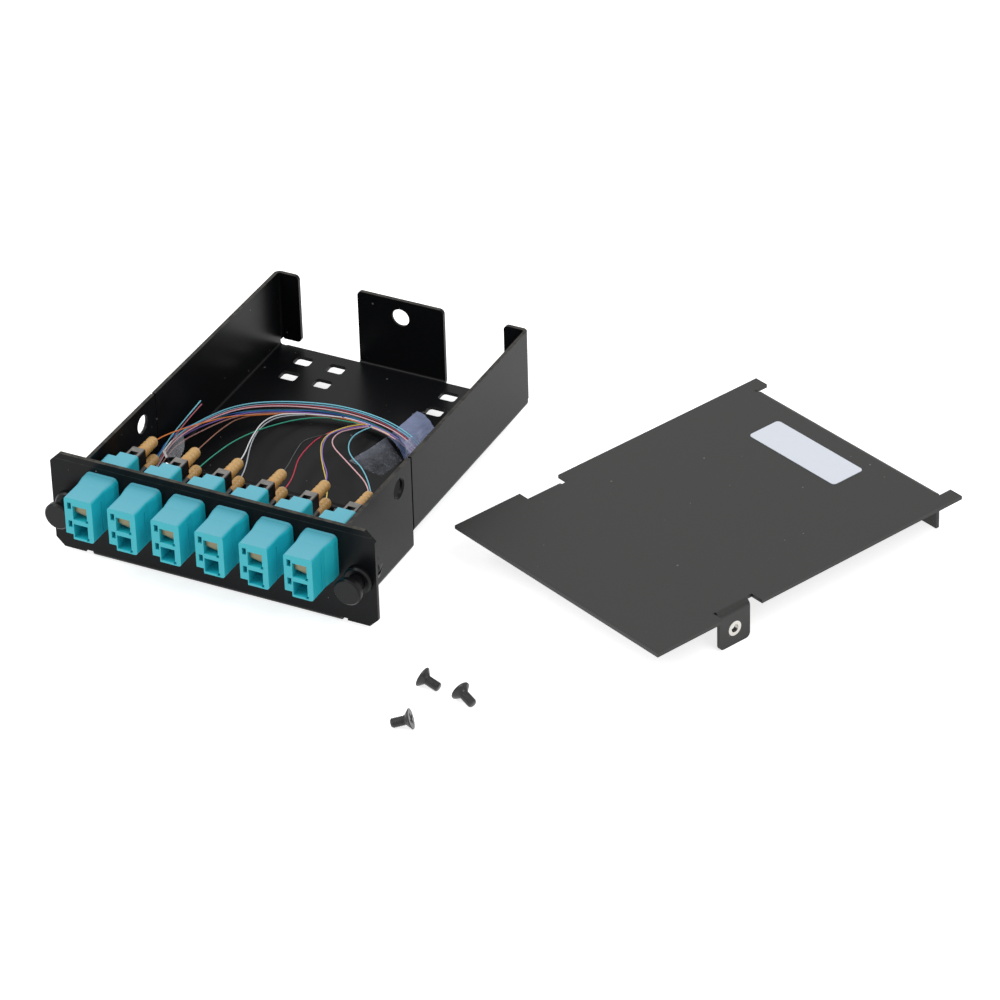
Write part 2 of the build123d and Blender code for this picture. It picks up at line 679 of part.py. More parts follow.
def build_inserts():
    """Clinch nuts pressed into the cover's side tabs and its rear flange."""
    solids = []
    neck = insert_radius - 0.3
    for side in (-1, 1):
        face = half_inside - cover_tab_inset
        nut = Cylinder(neck, sheet) - Cylinder(insert_hole_radius, 3 * sheet)
        flange = Pos(0, 0, -sheet / 2 - (insert_height - sheet) / 2) \
            * (Cylinder(insert_radius, insert_height - sheet) - Cylinder(insert_hole_radius, sheet))
        place = Pos(side * (face - sheet / 2), cover_tab_start + cover_tab_width / 2,
                    cover_drop - insert_depth)
        solids.append(place * Rot(0, side * 90, 0) * (nut + flange))
    nut = Cylinder(neck, sheet) - Cylinder(insert_hole_radius, 3 * sheet)
    flange = Pos(0, 0, -sheet / 2 - (insert_height - sheet) / 2) \
        * (Cylinder(insert_radius, insert_height - sheet) - Cylinder(insert_hole_radius, sheet))
    solids.append(Pos(0, cover_length - sheet / 2, cover_drop - insert_depth)
                  * Rot(-90, 0, 0) * (nut + flange))
    return Compound(children=solids)


def build_label():
    """Blank label with rounded corners on the cover's top."""
    centre = Pos(-cover_width / 2 + label_left + label_length / 2,
                 cover_length - label_rear_gap - label_width / 2, cover_drop)
    return centre * extrude(RectangleRounded(label_length, label_width, label_corner),
                            label_thickness)


def beside_tray(part):
    """Move a part from the cover's own frame to where the cover lies beside the tray."""
    turn = Pos(cover_corner_x, cover_corner_y, 0) * Rot(0, 0, cover_turn)
    return turn * Pos(cover_width / 2, 0, 0) * part


def build_screws():
    """Three loose countersunk screws, each lying on its head's rim and its tip."""
    solids = []
    shank = screw_length - screw_head_height
    points = [(0, 0), (screw_head_radius, 0), (screw_head_radius, 0.25),
              (screw_radius, screw_head_height), (screw_radius, screw_length - 0.4),
              (screw_radius - 0.4, screw_length), (0, screw_length)]
    tip_radius = screw_radius
    span = screw_length - 0.4 - 0.25
    tilt = math.degrees(math.asin((screw_head_radius - tip_radius) / math.hypot(
        span, screw_head_radius - tip_radius)))
    for x, y, heading in screw_rest:
        screw = revolve(make_face(Plane.XZ * Polyline(*points, close=True)), Axis.Z)
        arm = Box(screw_recess_span, screw_recess_width, 2 * screw_recess_depth)
        screw -= arm + Rot(0, 0, 90) * arm
        lying = Rot(0, 90 + tilt, 0) * screw
        lying = Pos(0, 0, -lying.bounding_box().min.Z) * lying
        solids.append(Pos(x, y, 0) * Rot(0, 0, heading) * lying)
    return Compound(children=solids)


def tube(points, radius):
    """Round tube through corner points, each corner an arc as wide as its shorter run allows."""
    pts = [Vector(*p) for p in points]
    runs = [(b - a) for a, b in zip(pts, pts[1:])]
    radii = []
    for before, after in zip(runs, runs[1:]):
        half_turn = math.radians(before.get_angle(after)) / 2
        shorter = min(before.length, after.length)
        radii.append(tube_fillet_share * shorter / math.tan(half_turn))
    path = FilletPolyline(*pts, radius=radii)
    start = Plane(origin=pts[0], z_dir=runs[0])
    solid = sweep(start * Circle(radius), path=path)
    expected = math.pi * radius ** 2 * path.length
    print(f"  length {path.length:.1f}, radii {min(radii):.1f} to {max(radii):.1f},"
          f" volume {solid.volume:.2f} of {expected:.2f}")
    return solid


def fibre_points(port, straight_end, corners):
    """Corner points of one fibre, starting inside its boot and leaving it straight."""
    number, row = port.split()
    x = adapter_places[int(number) - 1] + port_offset_x
    height = port_heights[("lower", "upper").index(row)]
    return [(x, boot_end - fibre_grip, height), (x, straight_end, height)] + corners


def build_wall_tape():
    """Film from the right wall's top edge down to the bundle, wider along Y than across."""
    ends = [Vector(x, 0, z) for x, z in wall_tape_ends]
    outline = [ends[end] + Vector(0, y, 0) for end, y in wall_tape_outline]
    face = make_face(Polyline(*outline, close=True)).face()
    return extrude(face, tape_thickness, dir=face.normal_at())


# The tray and what is fixed to it
export_step(build_tray(), "parts/tray.step")
for number, place in enumerate(adapter_places, start=1):
    export_step(build_adapter(place), f"parts/adapter_{number}.step")
    export_step(build_shutter(place), f"parts/shutter_{number}.step")
    boots = []
    for row, height in zip(("lower", "upper"), port_heights):
        export_step(build_connector(place, height), f"parts/connector_{number}_{row}.step")
        boots.append(build_boot(place, height))
    export_step(Compound(children=boots), f"parts/boots_{number}.step")
export_step(build_sleeves(), "parts/alignment_sleeves.step")
export_step(build_ferrules(), "parts/ferrules.step")
export_step(build_clips(), "parts/adapter_clips.step")
for name, side in (("left", -1), ("right", 1)):
    export_step(build_grommet(side), f"parts/grommet_{name}.step")
    export_step(build_plunger(side), f"parts/plunger_{name}.step")

# The cover and the screws beside the tray
export_step(beside_tray(build_cover()), "parts/cover.step")
export_step(beside_tray(build_inserts()), "parts/cover_inserts.step")
export_step(beside_tray(build_label()), "parts/label.step")
export_step(build_screws(), "parts/cover_screws.step")

# The fibres and the tape
for name, (port, straight_end, corners) in fibre_routes.items():
    print(f"fibre_{name}")
    fibre = tube(fibre_points(port, straight_end, corners), fibre_radius)
    export_step(fibre, f"parts/fibre_{name}.step")
print("fibre_bundle")
export_step(tube(bundle_route, bundle_radius), "parts/fibre_bundle.step")
print("loose_fibre_ends")
loose = [tube(route, fibre_radius) for route in loose_routes]
export_step(Compound(children=loose), "parts/loose_fibre_ends.step")
export_step(build_wall_tape(), "parts/wall_tape.step")
floor_tape = make_face(Polyline(*floor_tape_outline, close=True))
export_step(Pos(0, 0, rear_floor_top) * extrude(floor_tape, tape_thickness, dir=(0, 0, 1)),
            "parts/floor_tape.step")
flag = make_face(Polyline(*flag_outline, close=True))
export_step(Pos(0, 0, flag_height) * extrude(flag, tape_thickness, dir=(0, 0, 1)),
            "parts/clear_flag.step")
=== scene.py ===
import math
import bmesh
import bpy
import numpy as np
from mathutils import Matrix


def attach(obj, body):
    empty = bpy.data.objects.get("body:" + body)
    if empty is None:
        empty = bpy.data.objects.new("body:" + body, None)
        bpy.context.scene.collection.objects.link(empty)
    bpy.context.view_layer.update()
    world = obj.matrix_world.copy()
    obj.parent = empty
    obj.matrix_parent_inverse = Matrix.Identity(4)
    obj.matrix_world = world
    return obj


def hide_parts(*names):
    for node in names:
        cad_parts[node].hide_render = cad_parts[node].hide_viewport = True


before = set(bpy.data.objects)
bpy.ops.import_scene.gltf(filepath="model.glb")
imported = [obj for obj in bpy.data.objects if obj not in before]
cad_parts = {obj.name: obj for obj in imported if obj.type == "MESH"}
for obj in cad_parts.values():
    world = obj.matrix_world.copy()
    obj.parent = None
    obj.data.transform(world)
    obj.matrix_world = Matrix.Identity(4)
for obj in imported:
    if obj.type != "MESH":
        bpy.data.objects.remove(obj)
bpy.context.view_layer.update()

# Camera
# A long lens looks down at the front right corner, as in the photograph. The rows are
# the picture's right, down and forward directions in the shared frame.
right = (0.896128, 0.443090, -0.025021)
down = (0.224532, -0.501291, -0.835639)
forward = (-0.382806, 0.743222, -0.548709)
stand = (0.650190, -1.078199, 0.852776)
focal_pixels = 5161.646
picture_pixels = 1000
sensor_width = 36.0
columns = [[right[i], -down[i], -forward[i], stand[i]] for i in range(3)]
camera_data = bpy.data.cameras.new("camera")
camera_data.sensor_width = sensor_width
camera_data.lens = focal_pixels / picture_pixels * sensor_width
camera_data.clip_start = 0.05
camera_data.clip_end = 20.0
camera = bpy.data.objects.new("camera", camera_data)
camera.matrix_world = Matrix(columns + [[0, 0, 0, 1]])
bpy.context.scene.collection.objects.link(camera)
bpy.context.scene.camera = camera


# Fibres
# Twelve thin coated fibres, each in its own colour, as in the photograph. Each one leaves
# its boot straight, sags towards the floor and meets the bundle.
def add(tree, kind, *inputs, **settings):
    """Add a node with these settings; each input takes a value, a socket to link, or None."""
    node = tree.nodes.new(kind)
    for name, value in settings.items():
        setattr(node, name, value)
    for place, value in enumerate(inputs):
        if isinstance(value, bpy.types.NodeSocket):
            tree.links.new(value, node.inputs[place])
        elif value is not None:
            node.inputs[place].default_value = value
    return node


def maths(tree, operation, *inputs):
    """Output of one Math node."""
    return add(tree, "ShaderNodeMath", *inputs, operation=operation).outputs[0]


def new_group(name, takes, gives):
    """Node group with these inputs (name, kind, value) and outputs (name, kind)."""
    group = bpy.data.node_groups.new(name, "ShaderNodeTree")
    for label, kind, value in takes:
        socket = group.interface.new_socket(name=label, in_out="INPUT",
                                            socket_type=f"NodeSocket{kind}")
        socket.default_value = value
    for label, kind in gives:
        group.interface.new_socket(name=label, in_out="OUTPUT", socket_type=f"NodeSocket{kind}")
    return group, group.nodes.new("NodeGroupInput").outputs, group.nodes.new("NodeGroupOutput")


def grain_group():
    """Mottling: noise at one scale shifts colour and roughness, noise 2.7 times finer is height."""
    group, given, result = new_group(
        "surface_grain",
        [("Colour", "Color", (0.5, 0.5, 0.5, 1)), ("Spread", "Float", 0.1),
         ("Roughness", "Float", 0.4), ("Roughness spread", "Float", 0.1),
         ("Scale", "Float", 300.0)],
        [("Colour", "Color"), ("Roughness", "Float"), ("Height", "Float")])
    where = add(group, "ShaderNodeTexCoord").outputs["Object"]
    noise = add(group, "ShaderNodeTexNoise", where)
    group.links.new(given["Scale"], noise.inputs["Scale"])
    noise.inputs["Detail"].default_value = 3.0
    centred = maths(group, "SUBTRACT", noise.outputs[0], 0.5)
    shade = maths(group, "MULTIPLY_ADD", centred, given["Spread"], 1.0)
    tint = add(group, "ShaderNodeVectorMath", given["Colour"], operation="SCALE")
    group.links.new(shade, tint.inputs["Scale"])
    fine = add(group, "ShaderNodeTexNoise", where)
    group.links.new(maths(group, "MULTIPLY", given["Scale"], 2.7), fine.inputs["Scale"])
    group.links.new(tint.outputs[0], result.inputs["Colour"])
    group.links.new(maths(group, "MULTIPLY_ADD", centred, given["Roughness spread"],
                          given["Roughness"]), result.inputs["Roughness"])
    group.links.new(fine.outputs[0], result.inputs["Height"])
    return group


surface_grain = grain_group()


def grained(name, colour, roughness, scale=300.0, spread=0.12, uneven=0.08, bump=0.15,
            depth=0.00002, **sockets):
    """Principled material whose colour, roughness and bump come from the grain group."""
    material = bpy.data.materials.new(name)
    material.use_nodes = True
    tree = material.node_tree
    shader = tree.nodes["Principled BSDF"]
    grain = add(tree, "ShaderNodeGroup", node_tree=surface_grain, name="grain")
    for label, value in (("Colour", (*colour, 1)), ("Spread", spread), ("Roughness", roughness),
                         ("Roughness spread", uneven), ("Scale", scale)):
        grain.inputs[label].default_value = value
    relief = add(tree, "ShaderNodeBump", name="relief")
    relief.inputs["Strength"].default_value = bump
    relief.inputs["Distance"].default_value = depth
    tree.links.new(grain.outputs["Colour"], shader.inputs["Base Color"])
    tree.links.new(grain.outputs["Roughness"], shader.inputs["Roughness"])
    tree.links.new(grain.outputs["Height"], relief.inputs["Height"])
    tree.links.new(relief.outputs["Normal"], shader.inputs["Normal"])
    for socket, value in sockets.items():
        shader.inputs[socket.replace("_", " ")].default_value = value
    return material


def use_own_colour(material):
    """Take the grain's colour from the mesh's own colour attribute."""
    tree = material.node_tree
    own = add(tree, "ShaderNodeAttribute", attribute_name="own_colour")
    tree.links.new(own.outputs["Color"], tree.nodes["grain"].inputs["Colour"])
    return material


def finish_node(node, material):
    """Give a CAD node's object that material in every slot."""
    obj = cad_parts[node]
    for place in obj.material_slots:
        place.material = material
    if not obj.material_slots:
        obj.data.materials.append(material)


def route(name, points, thickness):
    """One smooth open spline of order 3 whose control points are given in millimetres."""
    data = bpy.data.curves.new(name, "CURVE")
    data.dimensions = "3D"
    data.resolution_u = 16
    data.bevel_depth = thickness / 2000
    data.bevel_resolution = 3
    data.use_fill_caps = thickness > 0
    spline = data.splines.new("NURBS")
    spline.points.add(len(points) - 1)
    spline.points.foreach_set("co", [value for x, y, z in points
                                     for value in (x / 1000, y / 1000, z / 1000, 1.0)])
    spline.order_u = 3
    spline.use_endpoint_u = True
    obj = bpy.data.objects.new(name, data)
    bpy.context.scene.collection.objects.link(obj)
    return obj


fibre_thickness = 0.4
fibre_start = 26.1
adapter_pitch = 14.56
port_offset = 0.45
port_heights = {"lower": 18.85, "upper": 25.1}
jackets = {
    "blue": (0.010, 0.13, 0.50), "orange": (0.75, 0.20, 0.03), "green": (0.02, 0.35, 0.22),
    "brown": (0.30, 0.12, 0.07), "slate": (0.48, 0.52, 0.56), "white": (0.86, 0.87, 0.88),
    "red": (0.62, 0.03, 0.07), "black": (0.02, 0.02, 0.022), "yellow": (0.80, 0.60, 0.10),
    "violet": (0.26, 0.15, 0.55), "rose": (0.85, 0.48, 0.52), "aqua": (0.22, 0.66, 0.80),
}

# Each fibre: its adapter and row, its length, and its control points from the boot on.
fibre_routes = {
    "blue": (1, "lower", 33.5, [
        (-35.9, 33.0, 18.9), (-39.5, 41.1, 16.2), (-40.2, 52.1, 14.9), (-39.3, 58.5, 13.2)]),
    "orange": (1, "upper", 58.6, [
        (-35.9, 32.0, 25.1), (-29.8, 52.7, 20.4), (-27.8, 64.9, 15.6), (-26.0, 73.2, 11.3),
        (-22.1, 80.0, 8.9)]),
    "green": (2, "lower", 63.0, [
        (-21.4, 34.0, 18.9), (-20.1, 55.8, 16.4), (-11.1, 79.5, 11.4), (-6.3, 84.9, 8.5)]),
    "brown": (2, "upper", 54.5, [
        (-21.4, 32.0, 25.1), (-25.9, 52.8, 18.6), (-28.4, 69.0, 12.8), (-25.1, 77.3, 9.4)]),
    "slate": (3, "lower", 62.2, [
        (-6.8, 32.0, 18.9), (-16.9, 54.0, 15.4), (-20.9, 68.9, 12.1), (-19.3, 78.7, 10.0),
        (-14.4, 83.3, 8.6)]),
    "white": (3, "upper", 69.2, [
        (-6.8, 32.0, 25.1), (-13.4, 48.3, 21.0), (-18.0, 65.9, 17.0), (-14.3, 78.2, 12.6),
        (-3.2, 86.3, 8.9)]),
    "red": (4, "lower", 63.7, [
        (7.7, 32.0, 18.9), (3.7, 43.2, 15.4), (-2.6, 57.6, 12.0), (-3.3, 76.6, 9.9),
        (4.5, 85.2, 8.8)]),
    "black": (4, "upper", 63.9, [
        (7.7, 32.0, 25.1), (1.3, 49.0, 19.6), (-3.7, 63.3, 14.2), (-0.9, 74.0, 10.6),
        (4.4, 84.6, 8.8)]),
    "yellow": (5, "lower", 66.3, [
        (22.3, 32.0, 18.9), (4.6, 57.3, 16.0), (0.9, 68.6, 14.0), (2.8, 77.6, 12.0),
        (4.2, 82.5, 10.2), (5.0, 85.6, 8.9)]),
    "violet": (5, "upper", 67.2, [
        (22.3, 32.0, 25.1), (10.1, 48.5, 21.0), (4.1, 62.7, 17.6), (3.1, 72.4, 13.8),
        (3.6, 80.1, 10.6), (7.3, 85.6, 9.1)]),
    "rose": (6, "upper", 72.8, [
        (36.9, 32.0, 25.1), (18.8, 47.8, 22.0), (8.6, 57.3, 19.4), (5.1, 68.1, 16.0),
        (5.1, 77.5, 12.0), (6.9, 84.6, 9.1)]),
    "aqua": (6, "lower", 70.3, [
        (36.9, 32.0, 18.9), (23.3, 52.1, 16.6), (13.3, 60.2, 14.8), (7.8, 70.0, 12.4),
        (6.1, 79.4, 10.2), (8.0, 85.8, 8.8)]),
}


def port_x(number):
    """Middle of an adapter's ports: pitch times its place in the row of six, plus the offset."""
    return round(adapter_pitch * (number - 3.5) + port_offset, 2)


def fibre_jacket(name, colour):
    """Soft jacket of one fibre in its own colour, with fine grain."""
    return grained(name, colour, 0.35, 900.0, spread=0.10, bump=0.05)


for jacket, (port, row, length, corners) in fibre_routes.items():
    start = (port_x(port), fibre_start, port_heights[row])
    fibre = route(f"fibre_{jacket}_jacket", [start] + corners, fibre_thickness)
    fibre.data.materials.append(fibre_jacket(f"jacket_{jacket}", jackets[jacket]))
    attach(fibre, "cassette")
    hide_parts(f"fibre_{jacket}")


# Fibre bundle
# The same fibres side by side in one loose loop. Each strand follows the loop's line at its
# own distance inwards and upwards, which changes along the loop as in the photograph.
def mesh_piece(name, grids, closed, tints=None):
    """Mesh of grids of points in millimetres; neighbours in rows and columns make quads."""
    points, faces, first = [], [], 0
    for grid in grids:
        rows, cells = grid.shape[:2]
        index = first + np.arange(rows * cells).reshape(rows, cells)
        first += rows * cells
        if closed:
            index = np.hstack([index, index[:, :1]])
        faces.append(np.stack([index[:-1, :-1], index[:-1, 1:], index[1:, 1:], index[1:, :-1]],
                              -1).reshape(-1, 4))
        points.append(grid.reshape(-1, 3) / 1000)
    data = bpy.data.meshes.new(name)
    data.from_pydata(np.vstack(points).tolist(), [], np.vstack(faces).tolist())
    if tints is not None:
        layer = data.color_attributes.new("own_colour", "FLOAT_COLOR", "POINT")
        layer.data.foreach_set("color", np.vstack(tints).astype(np.float32).ravel())
    shape = bmesh.new()
    shape.from_mesh(data)
    bmesh.ops.recalc_face_normals(shape, faces=shape.faces)
    shape.to_mesh(data)
    shape.free()
    data.shade_smooth()
    obj = bpy.data.objects.new(name, data)
    bpy.context.scene.collection.objects.link(obj)
    return obj


def rings(centres, side, rise, radii, count):
    """Circles round the centres: the cosine of an angle along side, its sine along rise."""
    turn = np.linspace(0, 2 * np.pi, count, endpoint=False)[None, :, None]
    return centres[:, None] + np.asarray(radii)[:, None, None] * (
        np.cos(turn) * side[:, None] + np.sin(turn) * rise[:, None])


bundle_route = [
    (-5.0, 8.4, 4.2), (-17.0, 9.4, 4.3), (-28.5, 14.0, 5.6), (-36.8, 24.0, 10.2),
    (-38.0, 35.2, 14.2), (-39.4, 47.1, 15.0), (-37.4, 61.4, 13.4), (-32.5, 75.9, 11.4),
    (-20.3, 84.6, 10.4), (-4.4, 89.1, 10.1), (11.0, 87.6, 10.1), (25.5, 80.1, 10.2),
    (37.0, 69.2, 10.2), (40.2, 53.0, 10.6), (39.4, 34.0, 8.6), (32.0, 17.0, 6.2),
    (14.0, 9.0, 4.4), (-3.0, 8.4, 4.2)]
guide = route("bundle_guide", bundle_route, 0)
guide_line = bpy.data.meshes.new_from_object(guide)
line = np.empty(3 * len(guide_line.vertices))
guide_line.vertices.foreach_get("co", line)
line = 1000 * line.reshape(-1, 3)
bpy.data.meshes.remove(guide_line)
bpy.data.objects.remove(guide)

# Each strand: its jacket, then for some places, given as a share of the loop's length, its
# distance inwards and upwards in millimetres. The first ones run round the whole loop, and
# each of the others starts where the fibre of its colour ends.
full_turn = {
    "aqua": [(0.21, -0.3, 0.3), (0.28, -0.5, 0.3), (0.36, -1.0, 0.3), (0.46, -1.5, 0.3),
             (0.51, -1.1, 0.3), (0.60, -1.5, 0.3)],
    "shaded_aqua": [(0.25, -0.3, -0.1), (0.40, -0.6, -0.1), (0.54, -0.8, -0.1),
                    (0.60, -1.1, -0.1)],
    "shaded_red": [(0.20, 0.0, 0.0), (0.62, 0.0, 0.0)],
    "rose": [(0.25, 0.25, -0.2), (0.33, 0.45, -0.2), (0.42, 0.5, -0.2), (0.51, 1.1, -0.2),
             (0.56, 0.5, -0.2), (0.60, 0.4, -0.2)],
    "teal": [(0.22, -0.6, -1.2), (0.30, -1.3, -1.6), (0.38, 0.0, -1.8), (0.43, 0.1, -1.8),
             (0.46, -0.6, -1.8), (0.49, 0.0, -1.8), (0.58, 0.6, -1.8)],
    "violet": [(0.22, -0.9, -1.6), (0.26, -0.9, -1.8), (0.29, -0.6, -1.8), (0.33, 0.5, -1.8),
               (0.40, 1.2, -1.9), (0.50, 1.2, -1.9), (0.60, 1.0, -1.9)],
    "shaded_rose": [(0.20, 0.3, -1.6), (0.24, 0.6, -2.0), (0.28, 1.5, -2.0), (0.34, 1.3, -2.0),
                   (0.40, 1.7, -2.0), (0.50, 1.4, -2.1), (0.60, 1.2, -2.1)],
}
joining = {
    "blue": [(0.281, -1.6, -0.5), (0.30, -2.2, -1.3), (0.33, -1.0, -1.6), (0.36, 0.6, -1.6),
             (0.40, 1.2, -1.6), (0.44, 0.4, -1.6), (0.53, 0.3, -2.1)],
    "brown": [(0.377, 3.1, -1.5), (0.39, 2.6, -1.9), (0.42, 2.0, -2.2), (0.50, 1.9, -2.4)],
    "orange": [(0.395, 2.5, -1.8), (0.41, 2.2, -1.8), (0.45, 2.0, -1.8), (0.52, 1.5, -2.0)],
    "slate": [(0.428, 2.8, -1.7), (0.44, 1.8, -1.9), (0.46, 1.6, -2.0), (0.475, 1.0, -2.0),
              (0.52, 0.8, -2.2)],
    "green": [(0.463, 3.2, -1.7), (0.475, 2.6, -2.1), (0.49, 2.3, -2.2), (0.50, 1.5, -2.2),
              (0.55, 1.2, -2.3)],
    "white": [(0.476, 2.1, -1.2), (0.49, 1.2, -1.8), (0.51, 0.9, -2.0), (0.56, 0.8, -1.9)],
    "red": [(0.508, 3.0, -1.3), (0.53, 2.2, -1.7), (0.58, 1.6, -1.6)],
    "black": [(0.508, 3.6, -1.3), (0.54, 2.4, -1.6), (0.60, 1.7, -1.5)],
    "yellow": [(0.510, 2.5, -1.2), (0.53, 1.7, -1.4), (0.60, 1.2, -1.5)],
    "violet": [(0.519, 2.1, -1.0), (0.54, 1.5, -1.2), (0.60, 1.5, -1.0)],
    "rose": [(0.518, 3.1, -1.0), (0.54, 2.3, -1.2), (0.60, 1.8, -1.1)],
    "aqua": [(0.521, 1.8, -1.3), (0.54, 1.9, -1.5), (0.60, 2.0, -1.3)],
}
# Of the added colours, the second aqua, the dark red and the brownish rose are darker copies of the
# aqua, red and rose jackets: painted shade on strands of those fibres.
jackets.update({"shaded_aqua": (0.16, 0.50, 0.66), "shaded_red": (0.30, 0.02, 0.04),
                "teal": (0.01, 0.20, 0.22), "shaded_rose": (0.45, 0.22, 0.20)})
station_count = 301
blend_width = 15
strand_sides = 7
bunch_spacing = 0.32
golden_turn = 2.4
bunch_leaves, bunch_returns = 0.14, 0.74
wander, wander_turns, wander_shift = 0.10, 5, 0.37


def loop_strands():
    """Tubes beside the loop's line, with knots blended by a moving average and a slow wander.

    Before and after its knots a strand runs in a bunch, on a spiral: its distance from the
    line grows with the root of its number, and its angle by the golden angle.
    """
    steps = np.linalg.norm(np.diff(line, axis=0), axis=1)
    share = np.concatenate([[0], np.cumsum(steps)])
    share /= share[-1]
    stations = np.linspace(0, 1, station_count)
    centre = np.stack([np.interp(stations, share, line[:, i]) for i in range(3)], 1)
    ahead = np.gradient(centre, axis=0)
    ahead /= np.linalg.norm(ahead, axis=1)[:, None]
    inward = np.cross(ahead, (0, 0, 1))
    inward /= np.linalg.norm(inward, axis=1)[:, None]
    rise = np.cross(inward, ahead)
    window = np.hanning(blend_width)
    window /= window.sum()
    strands = [(jacket, knots, True) for jacket, knots in full_turn.items()]
    strands += [(jacket, knots, False) for jacket, knots in joining.items()]
    grids, tints = [], []
    for number, (jacket, knots, whole) in enumerate(strands):
        reach, angle = bunch_spacing * math.sqrt(number + 0.6), golden_turn * number
        home = (reach * math.cos(angle), reach * math.sin(angle))
        table = [(0.0, *home), (bunch_leaves, *home)] if whole else []
        table += knots + [(bunch_returns, *home), (1.0, *home)]
        at, out, up = np.transpose(table)
        first = 0 if whole else int(np.searchsorted(stations, at[0]))
        used = stations[first:]
        padded = [np.pad(np.interp(used, at, v), blend_width // 2, mode="edge")
                  for v in (out, up)]
        out, up = (np.convolve(v, window, mode="valid") for v in padded)
        out = out + wander * np.sin(2 * np.pi * (wander_turns * used + wander_shift * number))
        radii = np.full(len(used), fibre_thickness / 2)
        radii[[0, -1]] = 0
        path = centre[first:] + out[:, None] * inward[first:] + up[:, None] * rise[first:]
        grids.append(rings(path, inward[first:], rise[first:], radii, strand_sides))
        tints.append(np.tile((*jackets[jacket], 1.0), (strand_sides * len(used), 1)))
    return mesh_piece("fibre_bundle_strands", grids, True, tints)


bundle = loop_strands()
bundle.data.materials.append(use_own_colour(grained(
    "jacket_mixed", (0.5, 0.55, 0.6), 0.35, 900.0, spread=0.12, bump=0.05)))
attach(bundle, "cassette")
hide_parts("fibre_bundle")

# Loose fibre ends
# Two more fibres of the same kind, cut and not used. They stick up out of the bundle at the
# left wall, held by the bundle alone, and end bare.
loose = {
    "aqua": (33.0, [(-37.9, 28.6, 12.0), (-38.8, 32.3, 13.4), (-38.9, 37.7, 15.0),
                    (-38.6, 43.5, 17.6), (-37.0, 50.2, 20.6), (-35.4, 57.2, 23.4)]),
    "rose": (32.0, [(-37.2, 26.4, 11.4), (-38.4, 30.0, 13.0), (-37.8, 35.5, 15.2),
                    (-36.8, 41.3, 18.0), (-35.7, 47.7, 21.0), (-34.0, 55.4, 23.6)]),
}
loose_tints = {"aqua": jackets["aqua"], "rose": (0.42, 0.10, 0.13)}
for jacket, (length, places) in loose.items():
    end = route(f"loose_end_{jacket}", places, fibre_thickness)
    end.data.materials.append(fibre_jacket(f"loose_{jacket}", loose_tints[jacket]))
    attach(end, "cassette")
    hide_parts("loose_fibre_ends")


# Clear tapes
# Three pieces of clear film: one holds the bundle at the right wall, one lies on the
# floor, and one is a small flag on a fibre. Each is hazy where it is creased or bubbled.
def haze_group():
    """Film: wide noise makes cloudy haze, a threshold on fine noise makes specks, and both
    add to the haze that the mesh asks for; the same noise is the film's height."""
    group, given, result = new_group(
        "film_haze", [("Haze", "Float", 0.5), ("Cloud", "Float", 0.3), ("Specks", "Float", 0.3)],
        [("Alpha", "Float"), ("Height", "Float")])
    where = add(group, "ShaderNodeTexCoord").outputs["Object"]
    cloud = add(group, "ShaderNodeTexNoise", where)
    cloud.inputs["Scale"].default_value = 260.0
    cloud.inputs["Detail"].default_value = 4.0
    fine = add(group, "ShaderNodeTexNoise", where)
    fine.inputs["Scale"].default_value = 1500.0
    speck = add(group, "ShaderNodeMapRange", fine.outputs[0], 0.60, 0.70, 0.0, 1.0).outputs[0]
    wide = maths(group, "SUBTRACT", cloud.outputs[0], 0.5)
    hazy = maths(group, "MULTIPLY_ADD", wide, given["Cloud"], given["Haze"])
    total = maths(group, "MULTIPLY_ADD", speck, given["Specks"], hazy)
    capped = add(group, "ShaderNodeClamp", total, 0.03, 0.95).outputs[0]
    group.links.new(capped, result.inputs["Alpha"])
    group.links.new(cloud.outputs[0], result.inputs["Height"])
    return group


film_haze = haze_group()
bundle_edge = 14.6
wall_reach = 27.7
film_low, film_rise = 8.9, 22.3
floor_film_height = 6.66
flag_height = 20.95
crease_height, bubble_height, flag_arch = 0.22, 0.12, 0.35
dark_border, highlight_border = 0.16, 0.14


def film(name, cloud, specks, roughness):
    """Clear film coloured by the mesh, with alpha from the haze group and the mesh's haze."""
    material = use_own_colour(grained(name, (0.8, 0.8, 0.9), roughness, 700.0, spread=0.10))
    tree = material.node_tree
    asked = add(tree, "ShaderNodeAttribute", attribute_name="haze")
    haze = add(tree, "ShaderNodeGroup", asked.outputs["Fac"], node_tree=film_haze)
    haze.inputs["Cloud"].default_value = cloud
    haze.inputs["Specks"].default_value = specks
    relief = tree.nodes["relief"]
    relief.inputs["Distance"].default_value = 0.0003
    relief.inputs["Strength"].default_value = 0.5
    tree.links.new(haze.outputs["Alpha"], tree.nodes["Principled BSDF"].inputs["Alpha"])
    tree.links.new(haze.outputs["Height"], relief.inputs["Height"])
    return material


def ruled(low, high, count=40):
    """Grid between two borders; each border's points are spread evenly over the same rows."""
    rows = np.linspace(0, 1, count)
    edges = [np.stack([np.interp(rows, np.linspace(0, 1, len(e)), np.asarray(e, float)[:, i])
                       for i in range(len(e[0]))], 1) for e in (low, high)]
    across = np.linspace(0, 1, count)[None, :, None]
    return (1 - across) * edges[0][:, None] + across * edges[1][:, None]


def film_piece(name, grid, tints, haze, node, material):
    """Film object with its colours and haze on the mesh, in place of that CAD node."""
    shape = grid.shape[:2]
    colours = np.ones((*shape, 4))
    colours[..., :3] = tints
    obj = mesh_piece(name, [grid], False, [colours.reshape(-1, 4)])
    layer = obj.data.attributes.new("haze", "FLOAT", "POINT")
    layer.data.foreach_set("value", np.broadcast_to(haze, shape).astype(np.float32).ravel())
    obj.data.materials.append(material)
    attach(obj, "cassette")
    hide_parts(node)


